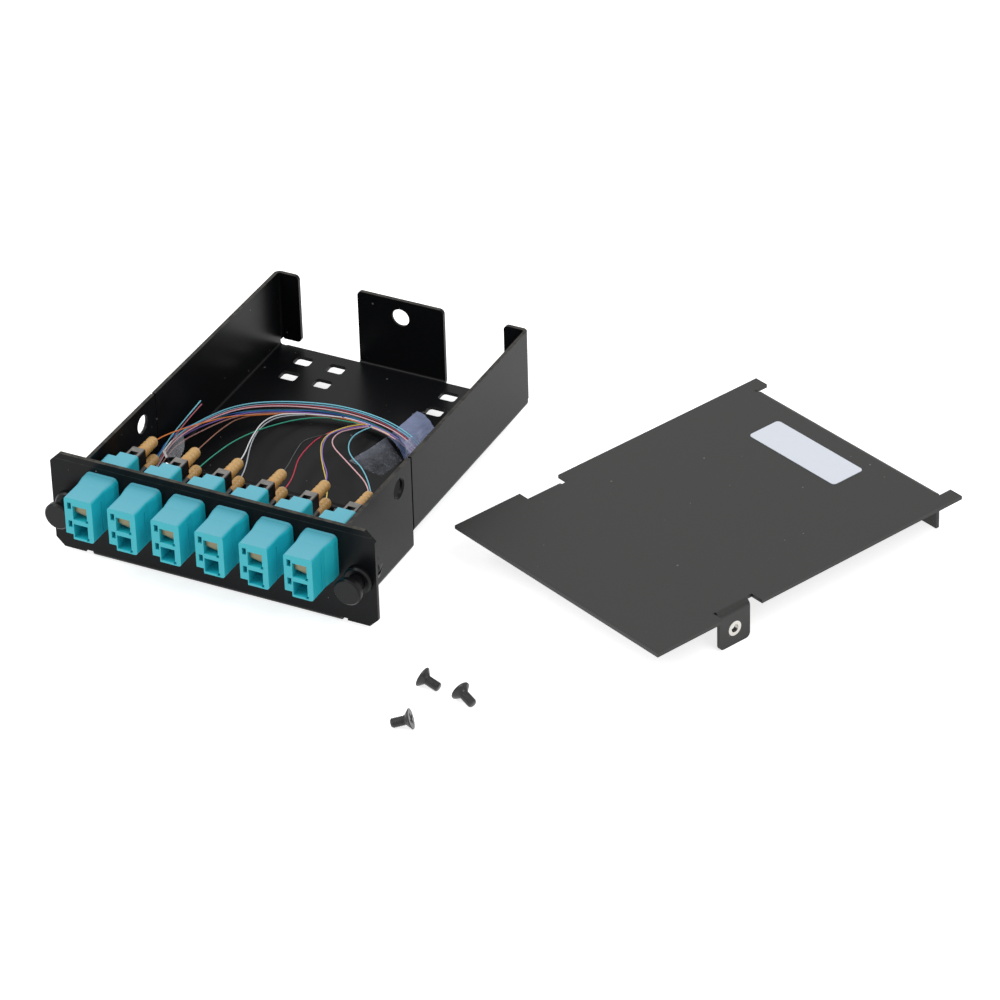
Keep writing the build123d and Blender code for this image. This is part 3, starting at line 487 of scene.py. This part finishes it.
def tape_at_the_wall():
    """Sheet from the bundle to the wall: its height grows with the distance from the bundle to
    the power 2.2, creases are a sine across it, and its lower border is dark."""
    low = [(14.6, 82.4), (16.4, 81.4), (18.6, 79.6), (23.2, 74.5), (29.9, 64.6), (42.3, 45.2)]
    high = [(16.3, 98.8), (17.8, 98.4), (19.7, 97.4), (23.8, 93.1), (30.2, 83.8), (42.3, 64.9)]
    flat = ruled(low, high)
    near = ((flat[..., 0] - bundle_edge) / wall_reach).clip(0, 1)
    across = np.linspace(0, 1, flat.shape[1])[None, :]
    crease = np.sin(2 * np.pi * (2.6 * across + 0.9 * near)) * np.sin(np.pi * near)
    grid = np.dstack([flat, film_low + film_rise * near ** 2.2 + crease_height * crease])
    dark = (across < dark_border)[..., None] & (near[..., None] < 0.9)
    tints = np.where(dark, (0.07, 0.11, 0.22), (0.34, 0.40, 0.62))
    film_piece("wall_film", grid, tints, 0.62, "wall_tape",
               film("wall_film", 0.45, 0.15, 0.22))


def tape_on_the_floor():
    """Nearly clear sheet on the floor, hazier along its left border. Its low bubbles are the
    product of two squared sines."""
    flat = ruled([(8.6, 68.5), (9.4, 71.4), (11.6, 79.1), (12.7, 85.0)],
                 [(15.7, 66.1), (21.6, 64.9), (22.6, 70.6), (23.2, 75.3)])
    across = np.linspace(0, 1, flat.shape[1])[None, :]
    bubble = bubble_height * np.sin(1.7 * flat[..., 0]) ** 2 * np.sin(1.3 * flat[..., 1]) ** 2
    grid = np.dstack([flat, floor_film_height + bubble])
    film_piece("floor_film", grid, (0.40, 0.43, 0.54), 0.06 + 0.25 * (1 - across) ** 3,
               "floor_tape", film("floor_film", 0.30, 0.30, 0.18))


def flag_on_a_fibre():
    """Small flag, arched by half a sine, with a white band along its left border, a painted
    highlight.
    """
    flat = ruled([(-31.5, 28.3), (-34.1, 31.0), (-34.6, 37.0), (-33.6, 42.1)],
                 [(-27.3, 29.4), (-28.6, 34.5), (-30.8, 38.8), (-33.2, 42.0)])
    across = np.linspace(0, 1, flat.shape[1])[None, :] + np.zeros(flat.shape[:2])
    grid = np.dstack([flat, flag_height + flag_arch * np.sin(np.pi * across)])
    # The white, hazier band along the left border is a painted highlight.
    pale = across < highlight_border
    tints = np.where(pale[..., None], (0.85, 0.86, 0.88), (0.30, 0.31, 0.34))
    film_piece("flag_film", grid, tints, np.where(pale, 0.8, 0.35), "clear_flag",
               film("flag_film", 0.5, 0.35, 0.2))


tape_at_the_wall()
tape_on_the_floor()
flag_on_a_fibre()


# Tray and cover
# Both are folded from 1.2 mm steel sheet with a black coat: the tray's is satin, with dust and
# a painted highlight along its upper edges, and the cover's is finely textured.
def band_group():
    """Soft band across the object's own place: a smooth rise at Low times a smooth fall at
    High, measured in millimetres along Axis, broken up by noise and scaled by Amount."""
    group, given, result = new_group(
        "band_mask",
        [("Axis", "Vector", (0, 0, 1)), ("Low", "Float", 0.0), ("High", "Float", 1.0),
         ("Soft", "Float", 0.1), ("Amount", "Float", 1.0), ("Breakup", "Float", 0.0)],
        [("Mask", "Float")])
    where = add(group, "ShaderNodeTexCoord").outputs["Object"]
    along = maths(group, "MULTIPLY", add(group, "ShaderNodeVectorMath", where, given["Axis"],
                                         operation="DOT_PRODUCT").outputs["Value"], 1000.0)
    parts = []
    for edge, ends in (("Low", (0.0, 1.0)), ("High", (1.0, 0.0))):
        before = maths(group, "SUBTRACT", given[edge], given["Soft"])
        after = maths(group, "ADD", given[edge], given["Soft"])
        parts.append(add(group, "ShaderNodeMapRange", along, before, after, *ends,
                         interpolation_type="SMOOTHSTEP").outputs[0])
    noise = add(group, "ShaderNodeTexNoise", where)
    noise.inputs["Scale"].default_value = 420.0
    noise.inputs["Detail"].default_value = 5.0
    gaps = add(group, "ShaderNodeMapRange", noise.outputs[0], 0.40, 0.58, 1.0, 0.0).outputs[0]
    whole = maths(group, "SUBTRACT", 1.0, maths(group, "MULTIPLY", gaps, given["Breakup"]))
    mask = maths(group, "MULTIPLY", maths(group, "MULTIPLY", *parts), whole)
    group.links.new(maths(group, "MULTIPLY", mask, given["Amount"]), result.inputs["Mask"])
    return group


def speck_group():
    """Dust: the distance to a cell's centre is less than Size times the cell's own number."""
    group, given, result = new_group(
        "dust_mask", [("Scale", "Float", 500.0), ("Size", "Float", 0.2)], [("Mask", "Float")])
    where = add(group, "ShaderNodeTexCoord").outputs["Object"]
    cells = add(group, "ShaderNodeTexVoronoi", where)
    group.links.new(given["Scale"], cells.inputs["Scale"])
    number = add(group, "ShaderNodeSeparateColor", cells.outputs["Color"]).outputs[0]
    limit = maths(group, "MULTIPLY", maths(group, "POWER", number, 6.0), given["Size"])
    group.links.new(maths(group, "LESS_THAN", cells.outputs["Distance"], limit),
                    result.inputs["Mask"])
    return group


band_mask = band_group()
dust_mask = speck_group()


def laid_over(material, mask, colour):
    """Mix that colour over the base colour where the mask is."""
    tree = material.node_tree
    base = tree.nodes["Principled BSDF"].inputs["Base Color"]
    mix = tree.nodes.new("ShaderNodeMix")
    mix.data_type = "RGBA"
    tree.links.new(mask, mix.inputs[0])
    tree.links.new(base.links[0].from_socket, mix.inputs[6])
    mix.inputs[7].default_value = (*colour, 1)
    tree.links.new(mix.outputs[2], base)


def band(material, colour, axis, low, high, soft, amount, breakup=0.0):
    """Lay a colour over the part that lies between low and high along the axis."""
    mask = add(material.node_tree, "ShaderNodeGroup", node_tree=band_mask)
    for label, value in (("Axis", axis), ("Low", low), ("High", high), ("Soft", soft),
                         ("Amount", amount), ("Breakup", breakup)):
        mask.inputs[label].default_value = value
    laid_over(material, mask.outputs["Mask"], colour)


def dust(material, colour, scale, size):
    """Lay small specks of a colour over the material."""
    mask = add(material.node_tree, "ShaderNodeGroup", scale, size, node_tree=dust_mask)
    laid_over(material, mask.outputs["Mask"], colour)


tray_coat = grained("tray_coat", (0.0045, 0.0047, 0.0055), 0.32, 900.0, spread=0.4, uneven=0.08,
                    bump=0.10, Specular_IOR_Level=0.13)
plate_top, wall_top, edge_highlight_depth = 34.2, 32.2, 0.08
# The pale brownish grey bands along the plate's and the walls' top edges are a painted highlight
# where light falls on the edges.
band(tray_coat, (0.085, 0.078, 0.062), (0, 0, 1), plate_top - edge_highlight_depth, plate_top + 0.4,
     0.05, 0.8, 0.6)
band(tray_coat, (0.070, 0.065, 0.055), (0, 0, 1), wall_top - edge_highlight_depth, wall_top + 0.06,
     0.04, 0.7, 0.6)
dust(tray_coat, (0.16, 0.16, 0.16), 420.0, 0.16)
finish_node("tray", tray_coat)
cover_coat = grained("cover_coat", (0.017, 0.017, 0.016), 0.42, 1500.0, spread=0.9, uneven=0.12,
                     bump=0.45, depth=0.00004, Specular_IOR_Level=0.4)
dust(cover_coat, (0.14, 0.14, 0.14), 300.0, 0.10)
finish_node("cover", cover_coat)

# Adapters
# Moulded bodies with a soft sheen, a parting line on the shoulder, metal spring leaves in
# the upper ports, spring clips round the bodies, and ceramic parts inside.
adapter_plastic = grained("adapter_plastic", (0.016, 0.50, 0.60), 0.36, 420.0, spread=0.07,
                          uneven=0.10, bump=0.08)
painted_sheen_top, parting_line, front_rim_highlight = (29.9, 31.5), (-1.35, -1.2), (-14.32, -14.1)
# The paler band over the adapters' tops is a painted sheen from the light above.
band(adapter_plastic, (0.12, 0.46, 0.58), (0, 0, 1), *painted_sheen_top, 0.12, 0.9)
band(adapter_plastic, (0.006, 0.30, 0.35), (0, 1, 0), *parting_line, 0.03, 0.8)
# The paler band at the front rim is a painted highlight on the edge.
band(adapter_plastic, (0.10, 0.60, 0.66), (0, 1, 0), *front_rim_highlight, 0.05, 0.35)
leaf_metal = grained("leaf_metal", (0.27, 0.23, 0.13), 0.34, 1200.0, spread=0.2, Metallic=0.35)
leaf_lower_edge = (22.0, 23.6)
band(leaf_metal, (0.14, 0.11, 0.06), (0, 0, 1), *leaf_lower_edge, 0.4, 0.6)
clip_steel = grained("clip_steel", (0.62, 0.61, 0.58), 0.28, 1200.0, Metallic=1.0)
ceramic = grained("ceramic", (0.80, 0.80, 0.76), 0.2, 600.0, spread=0.04)
leaf_axis = (-13.0, 26.95)
leaf_half_width = 2.25
leaf_half_thickness = 0.125
leaf_middle_drop, leaf_slant = 2.9, 0.6
leaf_rows = 16
pin_radius, pin_half_length, pin_chamfer = 0.34, 2.6, 0.15


def hanging_leaf(number):
    """Leaf that hangs from its pin: its depth is a share of the drop and of the drop squared,
    and its lower edge is slanted. The pin is a turned rod along X."""
    pin = np.array((port_x(number), *leaf_axis))
    across = np.linspace(-1, 1, leaf_rows - 1)
    drop = np.linspace(0, 1, leaf_rows)[:, None] * (leaf_middle_drop + leaf_slant * across)
    lean = 0.04 * drop + 0.02 * drop ** 2
    half = np.full((leaf_rows, 1), leaf_half_thickness)
    half[[0, -1]] = 0
    width = np.broadcast_to(leaf_half_width * across, drop.shape)
    sheets = [np.dstack([width, lean + side * half, -drop]) for side in (-1, 1)]
    plate = np.hstack([sheets[0], sheets[1][:, ::-1]]) + pin
    end, inner, small = pin_half_length, pin_half_length - pin_chamfer, pin_radius - 0.06
    along = np.array((-end, -end, -inner, inner, end, end))
    centres = pin + along[:, None] * (1, 0, 0)
    rod = rings(centres, np.tile((0.0, 1.0, 0.0), (6, 1)), np.tile((0.0, 0.0, 1.0), (6, 1)),
                (0, small, pin_radius, pin_radius, small, 0), 14)
    leaf = mesh_piece(f"hanging_leaf_{number}", [plate, rod], True)
    leaf.data.materials.append(leaf_metal)
    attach(leaf, f"shutter_{number}")
    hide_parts(f"shutter_{number}")


for number in range(1, 7):
    finish_node(f"adapter_{number}", adapter_plastic)
    hanging_leaf(number)
finish_node("adapter_clips", clip_steel)
finish_node("alignment_sleeves", ceramic)
finish_node("ferrules", ceramic)

# Plugs and boots
# Small black plugs with a paler band along their tops, a painted sheen. Their boots are
# ribbed amber rubber, flared and deeper orange at the base, with a black ring on the lower ones.
connector_plastic = grained("connector_plastic", (0.008, 0.008, 0.009), 0.34, 600.0, spread=0.3)
plug_half_height = 2.6
# The paler band along each plug's top is a painted sheen where light falls on the tops.
for middle in port_heights.values():
    top = middle + plug_half_height
    band(connector_plastic, (0.26, 0.245, 0.225), (0, 0, 1), top - 0.08, top + 0.1, 0.03, 0.85, 0.3)
dust(connector_plastic, (0.35, 0.33, 0.30), 700.0, 0.2)
boot_rubber = use_own_colour(grained("boot_rubber", (0.5, 0.27, 0.08), 0.30, 700.0, spread=0.2,
                                     bump=0.2, Coat_Weight=0.3))
boot_start = 20.9
boot_length = 9.2
boot_radius, boot_taper = 2.0, 0.025
boot_hole = 0.30
flare_height, flare_length = 0.12, 0.7
rib_pitch, rib_depth = 1.7, 0.26
first_rib, last_rib = 0.6, 7.4
tip_start, tip_length = 7.6, 1.6
black_ring = 0.9
boot_sides = 20


def pair_of_boots(number):
    """Two turned boots: the radius falls evenly, minus a cosine for four ribs, plus a bell
    curve for the flare at the base, follows a quarter ellipse at the tip and closes on the
    fibre."""
    along = np.linspace(0, boot_length, 56)
    ribs = rib_depth * (0.5 - 0.5 * np.cos(2 * np.pi * along / rib_pitch))
    radius = boot_radius - boot_taper * along - ribs * ((along > first_rib) & (along < last_rib))
    radius += flare_height * np.exp(-(along / flare_length) ** 2)
    tip = ((along - tip_start) / tip_length).clip(0, 1)
    radius = boot_hole + (radius - boot_hole) * np.sqrt(1 - 0.85 * tip ** 2)
    radius = np.concatenate([[boot_hole], radius, [fibre_thickness / 2]])
    place = np.concatenate([[0.0], along, [boot_length]])
    grids, tints = [], []
    for row, height in port_heights.items():
        centres = np.stack([np.full_like(place, port_x(number)), boot_start + place,
                            np.full_like(place, height)], 1)
        side = np.tile((1.0, 0.0, 0.0), (len(place), 1))
        rise = np.tile((0.0, 0.0, 1.0), (len(place), 1))
        grids.append(rings(centres, side, rise, radius.clip(0, boot_radius), boot_sides))
        base = np.exp(-(place / 1.6) ** 2)[:, None]
        tint = (1 - base) * (0.58, 0.34, 0.11) + base * (0.66, 0.27, 0.04)
        if row == "lower":
            tint[place < black_ring] = (0.012, 0.012, 0.012)
        tint = np.hstack([tint, np.ones((len(tint), 1))])
        tints.append(np.repeat(tint, boot_sides, axis=0))
    boots = mesh_piece(f"ribbed_boots_{number}", grids, True, tints)
    boots.data.materials.append(boot_rubber)
    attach(boots, "cassette")
    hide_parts(f"boots_{number}")


for number in range(1, 7):
    pair_of_boots(number)
    for row in port_heights:
        finish_node(f"connector_{number}_{row}", connector_plastic)

# Plungers, label and inserts
# Black turned plungers slide in black grommets in the plate's ears. A bare pale film label
# is stuck on the cover, and three steel nuts are pressed into it.
plunger_plastic = grained("plunger_plastic", (0.005, 0.005, 0.006), 0.36, 600.0, spread=0.3,
                          Specular_IOR_Level=0.22)
insert_steel = grained("insert_steel", (0.62, 0.60, 0.56), 0.28, 1500.0, spread=0.3, Metallic=1.0)
label_film = grained("label_film", (0.74, 0.78, 0.86), 0.38, 500.0, spread=0.05, bump=0.1)
for side in ("left", "right"):
    finish_node(f"grommet_{side}", plunger_plastic)
    finish_node(f"plunger_{side}", plunger_plastic)
finish_node("cover_inserts", insert_steel)
finish_node("label", label_film)

# Cover screws
# Three countersunk steel screws in black, with a cross recess and a real thread. They hold
# the cover when it is on, and here they lie loose on the floor.
screw_black = grained("screw_black", (0.010, 0.010, 0.011), 0.32, 1400.0, spread=0.4)
# The paler band over the top of each lying screw is a painted highlight where light falls.
highlit_top = (5.4, 6.4)
band(screw_black, (0.10, 0.10, 0.10), (0, 0, 1), *highlit_top, 0.3, 0.35, 0.5)
head_radius, shank_radius, tip_radius = 3.1, 1.5, 1.1
head_rim, head_height, thread_end, screw_length = 0.25, 1.7, 5.6, 6.0
thread_pitch, thread_depth = 0.5, 0.2
recess_depth, recess_half_width, recess_half_span = 0.9, 0.45, 1.7
screws_at = ((77.8, -18.6, -8.0), (90.7, -20.2, -25.0), (84.3, -38.2, 203.0))


def screw_grid():
    """Head face, rim, cone and thread of one screw, from the head at height 0 to the tip.

    The recess is deep where the smaller of two side distances is under half its width and
    the larger under half its span. The thread's radius falls with the distance from a
    ridge line that rises one pitch in each turn.
    """
    turn = np.linspace(0, 2 * np.pi, 48, endpoint=False)[None, :]
    face = np.linspace(0, head_radius, 18)[:, None]
    x, y = np.abs(face * np.cos(turn)), np.abs(face * np.sin(turn))
    inside = ((recess_half_width - np.minimum(x, y)) / 0.2).clip(0, 1) * (
        (recess_half_span - np.maximum(x, y)) / 0.3).clip(0, 1)
    thread = np.arange(head_height, thread_end + 0.05, thread_pitch / 8)
    height = np.concatenate([[head_rim, 0.9], thread, [5.8, screw_length, screw_length]])[:, None]
    radius = np.interp(height, (head_rim, head_height, thread_end, screw_length),
                       (head_radius, shank_radius, shank_radius, tip_radius))
    ridge = np.abs(2 * ((height / thread_pitch - turn / (2 * np.pi)) % 1.0) - 1)
    radius = radius - thread_depth * ridge * (
        (height > head_height + 0.1) & (height < thread_end + 0.1))
    radius[-1] = 0
    reach = np.vstack([face + 0 * turn, radius])
    depth = np.vstack([recess_depth * inside, height + 0 * turn])
    return np.dstack([reach * np.cos(turn), reach * np.sin(turn), depth])


def loose_screws():
    """Each screw is tipped on its rim and tip, dropped to the floor and turned to its heading."""
    drop = head_radius - shank_radius
    tilt = math.pi / 2 + math.asin(drop / math.hypot(screw_length - 0.4 - head_rim, drop))
    tip = np.array([[math.cos(tilt), 0, math.sin(tilt)], [0, 1, 0],
                    [-math.sin(tilt), 0, math.cos(tilt)]])
    grids = []
    for x, y, heading in screws_at:
        lying = screw_grid() @ tip.T
        lying[..., 2] -= lying[..., 2].min()
        turn = math.radians(heading)
        spin = np.array([[math.cos(turn), -math.sin(turn), 0],
                         [math.sin(turn), math.cos(turn), 0], [0, 0, 1]])
        grids.append(lying @ spin.T + (x, y, 0))
    screws = mesh_piece("threaded_screws", grids, True)
    screws.data.materials.append(screw_black)
    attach(screws, "cassette")
    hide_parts("cover_screws")


loose_screws()


# Studio
# A pale floor under soft lamps, in front of white. Light Path keeps the floor and the
# world white for the camera, and the floor keeps a faint shadow.
def seen_directly(tree):
    """One where the camera, a reflection or a clear film looks at the surface."""
    path = tree.nodes.new("ShaderNodeLightPath")
    eye = maths(tree, "MAXIMUM", path.outputs["Is Camera Ray"], path.outputs["Is Glossy Ray"])
    return maths(tree, "MAXIMUM", eye, path.outputs["Is Transmission Ray"])


def lamp(name, place, target, size, power):
    """Square soft lamp that faces the target."""
    data = bpy.data.lights.new(name, "AREA")
    data.shape = "SQUARE"
    data.size = size
    data.energy = power
    obj = bpy.data.objects.new(name, data)
    aim = np.subtract(target, place)
    back = -aim / np.linalg.norm(aim)
    side = np.cross((0, 0, 1), back)
    side /= np.linalg.norm(side)
    up = np.cross(back, side)
    obj.matrix_world = Matrix([[side[i], up[i], back[i], place[i]] for i in range(3)]
                              + [[0, 0, 0, 1]])
    bpy.context.scene.collection.objects.link(obj)


floor_data = bpy.data.meshes.new("studio_floor")
floor_data.from_pydata([(-6, -6, 0), (6, -6, 0), (6, 6, 0), (-6, 6, 0)], [], [(0, 1, 2, 3)])
floor = bpy.data.objects.new("studio_floor", floor_data)
bpy.context.scene.collection.objects.link(floor)
floor_paint = grained("studio_floor", (0.80, 0.80, 0.80), 0.9, 20.0, spread=0.01,
                      Specular_IOR_Level=0.0)
tree = floor_paint.node_tree
glow = add(tree, "ShaderNodeEmission", None, 0.75)
gate = add(tree, "ShaderNodeMixShader", seen_directly(tree),
           add(tree, "ShaderNodeEmission", None, 0.0).outputs[0], glow.outputs[0])
total = add(tree, "ShaderNodeAddShader", tree.nodes["Principled BSDF"].outputs[0],
            gate.outputs[0])
tree.links.new(total.outputs[0], tree.nodes["Material Output"].inputs["Surface"])
floor_data.materials.append(floor_paint)

world = bpy.data.worlds.new("studio")
world.use_nodes = True
bpy.context.scene.world = world
tree = world.node_tree
backdrop = tree.nodes["Background"]
backdrop.inputs["Color"].default_value = (1, 1, 1, 1)
tree.links.new(maths(tree, "MULTIPLY_ADD", seen_directly(tree), 0.45, 0.55),
               backdrop.inputs["Strength"])
lamp("lamp_left", (-0.9, -0.5, 1.2), (0.03, 0.03, 0.02), 0.8, 9.0)
lamp("lamp_right", (1.0, -0.2, 1.3), (0.03, 0.03, 0.02), 0.8, 6.0)
bpy.context.scene.view_settings.view_transform = "Standard"
